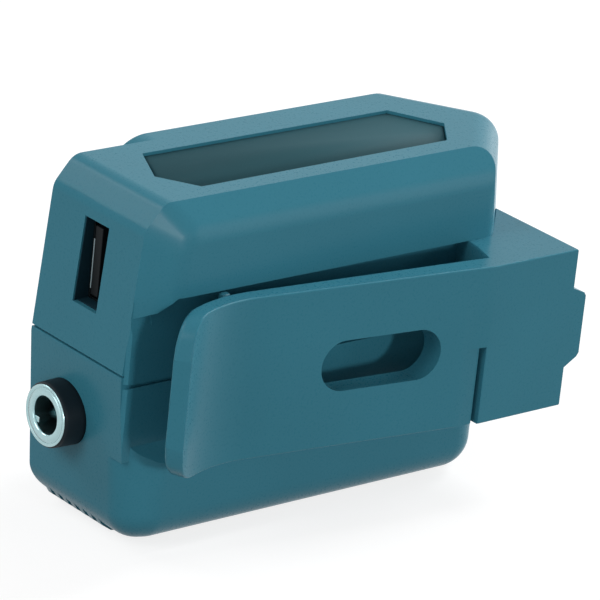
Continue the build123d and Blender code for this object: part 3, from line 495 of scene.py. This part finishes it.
def clip_moulding(sizes):
    """The arm and its collar as one closed moulding with rounded edges."""
    data = bmesh.new()
    weights = data.edges.layers.float.new("bevel_weight_edge")
    rings = arm_rings(data)
    for first, second in zip(rings, rings[1:]):
        for i in range(4):
            j = (i + 1) % 4
            data.faces.new((first[i], first[j], second[j], second[i]))
    data.faces.new(rings[0][::-1])
    wall_y = WALL_FOOT.y + (COLLAR_RIGHT_X - WALL_FOOT.x) * tan(WALL_SLANT)
    collar = [
        (COLLAR_RIGHT_X, COLLAR_FRONT_Y), (COLLAR_RIGHT_X, wall_y), tuple(WALL_FOOT), *POCKET_END]
    last = rings[-1]
    low = [last[0], *(data.verts.new((*point, CLIP_FOOT)) for point in collar), last[1]]
    high = [last[3], *(data.verts.new((*point, CLIP_HEAD)) for point in collar), last[2]]
    data.faces.new(low)
    data.faces.new(high[::-1])
    sides = range(len(low) - 1)
    for i in sides:
        data.faces.new((low[i], low[i + 1], high[i + 1], high[i]))
    front_share = sizes.clip_front_edge / sizes.clip_rear_edge
    for ring, following in zip(rings, rings[1:]):
        for corner, share in enumerate((front_share, 1.0, 1.0, front_share)):
            data.edges.get((ring[corner], following[corner]))[weights] = share
    for i in range(4):
        data.edges.get((rings[0][i], rings[0][(i + 1) % 4]))[weights] = front_share
    collar_share = front_share * COLLAR_SHARE
    for chain in (low, high):
        for i in sides:
            if i != HOUSING_SIDE:
                data.edges.get((chain[i], chain[i + 1]))[weights] = collar_share
    data.edges.get((low[WALL_CORNER], high[WALL_CORNER]))[weights] = collar_share
    clip = mesh_piece("moulded_clip", data, body=None)
    rounding = clip.modifiers.new("edges", "BEVEL")
    rounding.limit_method = "WEIGHT"
    rounding.width = sizes.clip_rear_edge
    rounding.segments = 4
    settle(clip)
    return clip


class ADAPTER_OT_clip(bpy.types.Operator):
    """Make the belt clip and its collar as one moulding"""

    bl_idname = "adapter.clip"
    bl_label = "Belt clip"

    def execute(self, context):
        sizes = context.scene.adapter_sizes
        clip = clip_moulding(sizes)
        tab = bmesh.new()
        extrude(tab, TAB, COLLAR_FRONT_Y, COLLAR_FRONT_Y + TAB_DEPTH, "Y")
        combine(clip, mesh_piece("collar_tab", tab, body=None), "UNION")
        outline = []
        for i in range(SLOT_STEPS):
            angle = 2 * pi * i / SLOT_STEPS
            middle_x = SLOT_X + (SLOT_RIGHT if cos(angle) >= 0 else SLOT_LEFT)
            outline.append((middle_x + SLOT_RADIUS * cos(angle), SLOT_Z + SLOT_RADIUS * sin(angle)))
        cutter = bmesh.new()
        extrude(cutter, outline, SLOT_FRONT_Y, SLOT_REAR_Y, "Y")
        extrude(cutter, SLIT, CLIP_FOOT - MM, SLIT_HEAD)
        combine(clip, mesh_piece("clip_cutter", cutter, body=None))
        round_edges(clip, sizes.slot_edge, angle=50)
        settle(clip)
        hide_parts("belt_clip", "clip_collar")
        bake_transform(clip)
        post = bmesh.new()
        extrude(post, STOP, STOP_LEFT, STOP_RIGHT, "X")
        stop = mesh_piece("clip_stop", post, body="clip")
        round_edges(stop, STOP_EDGE)
        return {"FINISHED"}


PLATE_THICK = 0.3 * MM
PLATE_GAP = 0.05 * MM  # between the plate's pointed ends and the recess
PLATE_SHARE = 0.995  # the plate's width as a share of the recess's


class ADAPTER_OT_plate(bpy.types.Operator):
    """Finish the bare rating plate"""

    bl_idname = "adapter.plate"
    bl_label = "Rating plate"

    def execute(self, context):
        data = bmesh.new()
        outline = [(x - PLATE_GAP if x > 0 else x + PLATE_GAP, y * PLATE_SHARE) for x, y in RECESS]
        extrude(data, outline, RECESS_FLOOR, RECESS_FLOOR + PLATE_THICK)
        plate = mesh_piece("bare_plate", data, "polyester plate")
        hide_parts("rating_plate")
        return {"FINISHED"}


# Port: corners of the tongue and of the pale strip painted on its edge as a highlight, from the
# socket end, in mm

TONGUE = ((2.7, -0.3, 37.0), (15.0, 1.5, 48.0))
TONGUE_HIGHLIGHT_STRIP = ((2.6, 1.36, 38.0), (2.9, 1.52, 45.9))
# Dark sheets painted as the shade in the window: its side walls seen from the front, where they
# stand, and its floor
SHADE_SHEET_SIDE = metres([(-35.1, 35.85), (-32.5, 35.85), (-32.5, 49.15), (-34.0, 49.15)])
SHADE_SHEET_WALLS = metres([(2.78, 2.96), (-2.96, -2.78)])
SHADE_SHEET_FLOOR = metres(rectangle(-34.6, -32.5, -2.8, 2.8))
SHADE_SHEET_FLOOR_FOOT, SHADE_SHEET_FLOOR_HEAD = 35.82 * MM, 35.98 * MM


def from_end(corner):
    """A corner given in mm from the socket end, in metres."""
    return (END_X + corner[0] * MM, corner[1] * MM, corner[2] * MM)


class ADAPTER_OT_port(bpy.types.Operator):
    """Finish the USB port"""

    bl_idname = "adapter.port"
    bl_label = "USB port"

    def execute(self, context):
        edge = context.scene.adapter_sizes.small_edge
        # The port's shell takes the tinned steel painted dark as the shade in its window
        soften("usb_shell", "tinned steel", edge / 3)
        tongue = block_piece(
            "port_tongue", *map(from_end, TONGUE), "black polyester moulding", "port_plastic", edge)
        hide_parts("usb_tongue")
        # A pale strip painted along the tongue's front edge as its highlight
        block_piece(
            "tongue_edge", *map(from_end, TONGUE_HIGHLIGHT_STRIP), "white polyester moulding", "port_plastic",
            edge / 3)
        soften("usb_contacts", "gold flash", edge / 5)
        # Dark sheets on the window's side walls and floor, painted as the shade inside it
        shade_sheets = bmesh.new()
        for low_y, high_y in SHADE_SHEET_WALLS:
            extrude(shade_sheets, SHADE_SHEET_SIDE, low_y, high_y, "Y")
        extrude(shade_sheets, SHADE_SHEET_FLOOR, SHADE_SHEET_FLOOR_FOOT, SHADE_SHEET_FLOOR_HEAD)
        shade_walls = mesh_piece("port_lining", shade_sheets, "slate polyester moulding")
        shade_walls.data.shade_flat()
        return {"FINISHED"}


# Socket: its axis, its front face, and the profiles of its parts in mm behind that face

SOCKET_AXIS = (2.6 * MM, 17.9 * MM)
SOCKET_FACE = END_X - 2.8 * MM
SOCKET_COLLAR = [
    (4.3, 4.0), (4.3, 5.2), (3.4, 5.2), (0.6, 5.1), (0.2, 5.05), (0, 4.95), (0, 3.4), (0.2, 3.31),
    (10.9, 3.31), (11.0, 1.6), (17.3, 1.6), (17.3, 4.0), (4.3, 4.0),
]
SOCKET_RING = [
    (0, 4.8), (-0.14, 4.8), (-0.22, 4.72), (-0.22, 4.42), (-0.10, 4.34), (-0.10, 4.24),
    (-0.26, 4.16), (-0.26, 3.30), (-0.20, 3.12), (-0.05, 2.98), (0.2, 2.93), (11.0, 2.93),
    (11.0, 3.3), (0, 3.3), (0, 4.8),
]
SOCKET_PIN = [
    (7.5, 0.01), (7.5, 0.6), (7.6, 0.85), (7.9, 1.05), (11.0, 1.05), (11.0, 1.5), (17.3, 1.5),
    (17.3, 0.01),
]
# Corners of the spring that presses on the plug
SPRING_NEAR = (SOCKET_FACE + 0.1 * MM, 4.3 * MM, 16.0 * MM)
SPRING_FAR = (SOCKET_FACE + 2.2 * MM, 5.4 * MM, 16.9 * MM)
FINE_EDGE = 0.1 * MM


class ADAPTER_OT_socket(bpy.types.Operator):
    """Turn the round DC socket"""

    bl_idname = "adapter.socket"
    bl_label = "DC socket"

    def execute(self, context):
        collar = bmesh.new()
        lathe(collar, SOCKET_COLLAR, SOCKET_FACE, SOCKET_AXIS)
        housing = mesh_piece("socket_collar", collar, "black nylon")
        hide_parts("jack_housing")
        ring = bmesh.new()
        lathe(ring, SOCKET_RING, SOCKET_FACE, SOCKET_AXIS)
        bright = mesh_piece("socket_ring", ring, "nickel plate")
        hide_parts("jack_ring")
        block_piece("socket_spring", SPRING_NEAR, SPRING_FAR, "nickel plate", "nickel", FINE_EDGE)
        pin = bmesh.new()
        lathe(pin, SOCKET_PIN, SOCKET_FACE, SOCKET_AXIS, turns=48)
        core = mesh_piece("socket_pin", pin, "nickel plate")
        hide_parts("jack_pin")
        soften("jack_nut", "nickel plate", FINE_EDGE)
        dress("jack_lugs", "gold flash")
        return {"FINISHED"}


class ADAPTER_OT_battery_side(bpy.types.Operator):
    """Finish the terminal block and its blades"""

    bl_idname = "adapter.battery_side"
    bl_label = "Battery side"

    def execute(self, context):
        soften("terminal_block", "black nylon", 0.4 * MM)
        for blade in ("positive_blade", "negative_blade", "sense_blade"):
            soften(blade, "gold flash", 0.2 * MM)
        return {"FINISHED"}


BOARD_LOOKS = {
    "main_board": "solder resist", "inductor_core": "sintered ferrite",
    "inductor_winding": "enamelled copper", "capacitors": "drawn aluminium",
    "regulator_chips": "black nylon", "chip_resistors": "black nylon",
    "schottky_diode": "black nylon", "board_fuse": "glazed ceramic", "positive_lead": "red PVC",
    "negative_lead": "black PVC", "housing_screws": "zinc plate",
}


class ADAPTER_OT_board(bpy.types.Operator):
    """Finish the board, its parts, the leads and the screws"""

    bl_idname = "adapter.board"
    bl_label = "Board and fixings"

    def execute(self, context):
        for node, material in BOARD_LOOKS.items():
            soften(node, material, FINE_EDGE)
        return {"FINISHED"}


# Studio: floor, world, lamps and camera

FLOOR_REACH = 4.0
FLOOR_GREY, FLOOR_GLOW = 0.3, 0.8
WORLD_LIGHT = 0.17
# Each lamp's place in metres, the side of its square in metres, and its power in watts
LAMPS = {
    "right softbox": ((0.66, 0.00, 0.76), 0.35, 4.6),
    "far right softbox": ((0.95, 0.10, 0.30), 0.5, 4.0),
    "rear left softbox": ((-0.35, 0.70, 0.59), 0.35, 1.9),
    "front softbox": ((-0.02, -0.98, 0.19), 0.12, 2.3),
    "front right softbox": ((0.70, -0.70, 0.10), 0.5, 2.1),
    "front left softbox": ((-0.75, -0.65, 0.15), 0.4, 1.0),
    "end softbox": ((-1.00, 0.00, 0.15), 0.5, 0.3),
    "upper end softbox": ((-0.80, 0.00, 0.60), 0.5, 3.1),
}
LAMP_AIM = Vector((0, 0, 27 * MM))
# The camera looks from the front left, a little down, and is turned on its axis
VIEW_AZIMUTH, VIEW_ELEVATION, VIEW_ROLL = radians(41.213), radians(21.434), radians(6.081)
VIEW_AIM = Vector((4 * MM, 0, 27 * MM))
VIEW_RIGHT, VIEW_DOWN, VIEW_DISTANCE = -2.48 * MM, 2.91 * MM, 713.74 * MM
VIEW_LENS, VIEW_SENSOR = 277.36, 36


def background_rays(tree):
    """1 for the rays that show the background: seen, off a shiny surface or through a clear one."""
    rays = add_node(tree, "ShaderNodeLightPath").outputs
    chosen = rays["Is Camera Ray"]
    for name in ("Is Glossy Ray", "Is Transmission Ray"):
        either = add_node(tree, "ShaderNodeMath", {"operation": "MAXIMUM"}, (chosen, rays[name]))
        chosen = either.outputs[0]
    return chosen


def make_floor(scene):
    """A pale floor that keeps the shadow and is bright only as a background."""
    mesh = bpy.data.meshes.new("studio_floor")
    corners = rectangle(-FLOOR_REACH, FLOOR_REACH, -FLOOR_REACH, FLOOR_REACH)
    mesh.from_pydata([(x, y, 0) for x, y in corners], [], [(0, 1, 2, 3)])
    floor = bpy.data.objects.new("studio_floor", mesh)
    scene.collection.objects.link(floor)
    paper = bpy.data.materials.new("white paper")
    paper.use_nodes = True
    tree = paper.node_tree
    tree.nodes.clear()
    matt = add_node(tree, "ShaderNodeBsdfDiffuse", Color=(FLOOR_GREY, FLOOR_GREY, FLOOR_GREY, 1))
    glow = add_node(tree, "ShaderNodeEmission", Color=(1, 1, 1, 1), Strength=FLOOR_GLOW)
    none = add_node(tree, "ShaderNodeEmission", Color=(0, 0, 0, 1), Strength=0.0)
    lift = add_node(
        tree, "ShaderNodeMixShader", None,
        (background_rays(tree), none.outputs[0], glow.outputs[0]))
    both = add_node(tree, "ShaderNodeAddShader", None, (matt.outputs[0], lift.outputs[0]))
    add_node(tree, "ShaderNodeOutputMaterial", Surface=both.outputs[0])
    mesh.materials.append(paper)


def make_world(scene):
    """A soft light all round that is white as a background."""
    world = bpy.data.worlds.new("studio")
    scene.world = world
    world.use_nodes = True
    tree = world.node_tree
    tree.nodes.clear()
    plain = add_node(tree, "ShaderNodeBackground", Color=(1, 1, 1, 1), Strength=WORLD_LIGHT)
    white = add_node(tree, "ShaderNodeBackground", Color=(1, 1, 1, 1), Strength=1.0)
    choose = add_node(
        tree, "ShaderNodeMixShader", None,
        (background_rays(tree), plain.outputs[0], white.outputs[0]))
    add_node(tree, "ShaderNodeOutputWorld", Surface=choose.outputs[0])


def make_lamps(scene):
    """Square softboxes round the object, all aimed at its middle."""
    for name, (place, side, power) in LAMPS.items():
        light = bpy.data.lights.new(name, "AREA")
        light.shape = "RECTANGLE"
        light.size = light.size_y = side
        light.energy = power
        lamp = bpy.data.objects.new(name, light)
        lamp.location = place
        lamp.rotation_euler = (LAMP_AIM - Vector(place)).to_track_quat("-Z", "Y").to_euler()
        scene.collection.objects.link(lamp)


def make_camera(scene):
    """The camera at the photograph's viewing angle."""
    away = Vector((
        sin(VIEW_AZIMUTH) * cos(VIEW_ELEVATION), cos(VIEW_AZIMUTH) * cos(VIEW_ELEVATION),
        -sin(VIEW_ELEVATION)))
    level = Vector((cos(VIEW_AZIMUTH), -sin(VIEW_AZIMUTH), 0))
    drop = away.cross(level)
    right = level * cos(VIEW_ROLL) - drop * sin(VIEW_ROLL)
    down = drop * cos(VIEW_ROLL) + level * sin(VIEW_ROLL)
    place = VIEW_AIM - right * VIEW_RIGHT - down * VIEW_DOWN - away * VIEW_DISTANCE
    view = bpy.data.cameras.new("camera")
    view.sensor_width = VIEW_SENSOR
    view.lens = VIEW_LENS
    view.clip_start, view.clip_end = 0.05, 20
    camera = bpy.data.objects.new("camera", view)
    camera.matrix_world = Matrix((
        (right.x, -down.x, -away.x, place.x),
        (right.y, -down.y, -away.y, place.y),
        (right.z, -down.z, -away.z, place.z),
        (0, 0, 0, 1),
    ))
    scene.collection.objects.link(camera)
    scene.camera = camera


class ADAPTER_OT_stage(bpy.types.Operator):
    """Set up the floor, the lamps and the camera"""

    bl_idname = "adapter.stage"
    bl_label = "Studio stage"

    def execute(self, context):
        scene = context.scene
        make_floor(scene)
        make_world(scene)
        make_lamps(scene)
        make_camera(scene)
        scene.view_settings.view_transform = "Standard"
        return {"FINISHED"}


STEPS = (
    ADAPTER_OT_stage, ADAPTER_OT_shells, ADAPTER_OT_clip, ADAPTER_OT_plate, ADAPTER_OT_port,
    ADAPTER_OT_socket, ADAPTER_OT_battery_side, ADAPTER_OT_board,
)


class ADAPTER_PT_panel(bpy.types.Panel):
    """Lists the adapter's steps and sizes"""

    bl_idname = "ADAPTER_PT_panel"
    bl_label = "Battery adapter"
    bl_space_type = "VIEW_3D"
    bl_region_type = "UI"
    bl_category = "Adapter"

    def draw(self, context):
        for group in (context.scene.adapter_sizes, context.scene.adapter_colours):
            for name in group.__annotations__:
                self.layout.prop(group, name)
        for step in STEPS:
            self.layout.operator(step.bl_idname)


CLASSES = (AdapterSizes, AdapterColours, *STEPS, ADAPTER_PT_panel)


def register():
    for entry in CLASSES:
        bpy.utils.register_class(entry)
    bpy.types.Scene.adapter_sizes = PointerProperty(type=AdapterSizes)
    bpy.types.Scene.adapter_colours = PointerProperty(type=AdapterColours)


def unregister():
    del bpy.types.Scene.adapter_colours
    del bpy.types.Scene.adapter_sizes
    for entry in reversed(CLASSES):
        bpy.utils.unregister_class(entry)


def main():
    """Registers the add-on and builds the whole scene."""
    register()
    for step in STEPS:
        group, name = step.bl_idname.split(".")
        getattr(getattr(bpy.ops, group), name)()


if __name__ == "__main__":
    main()
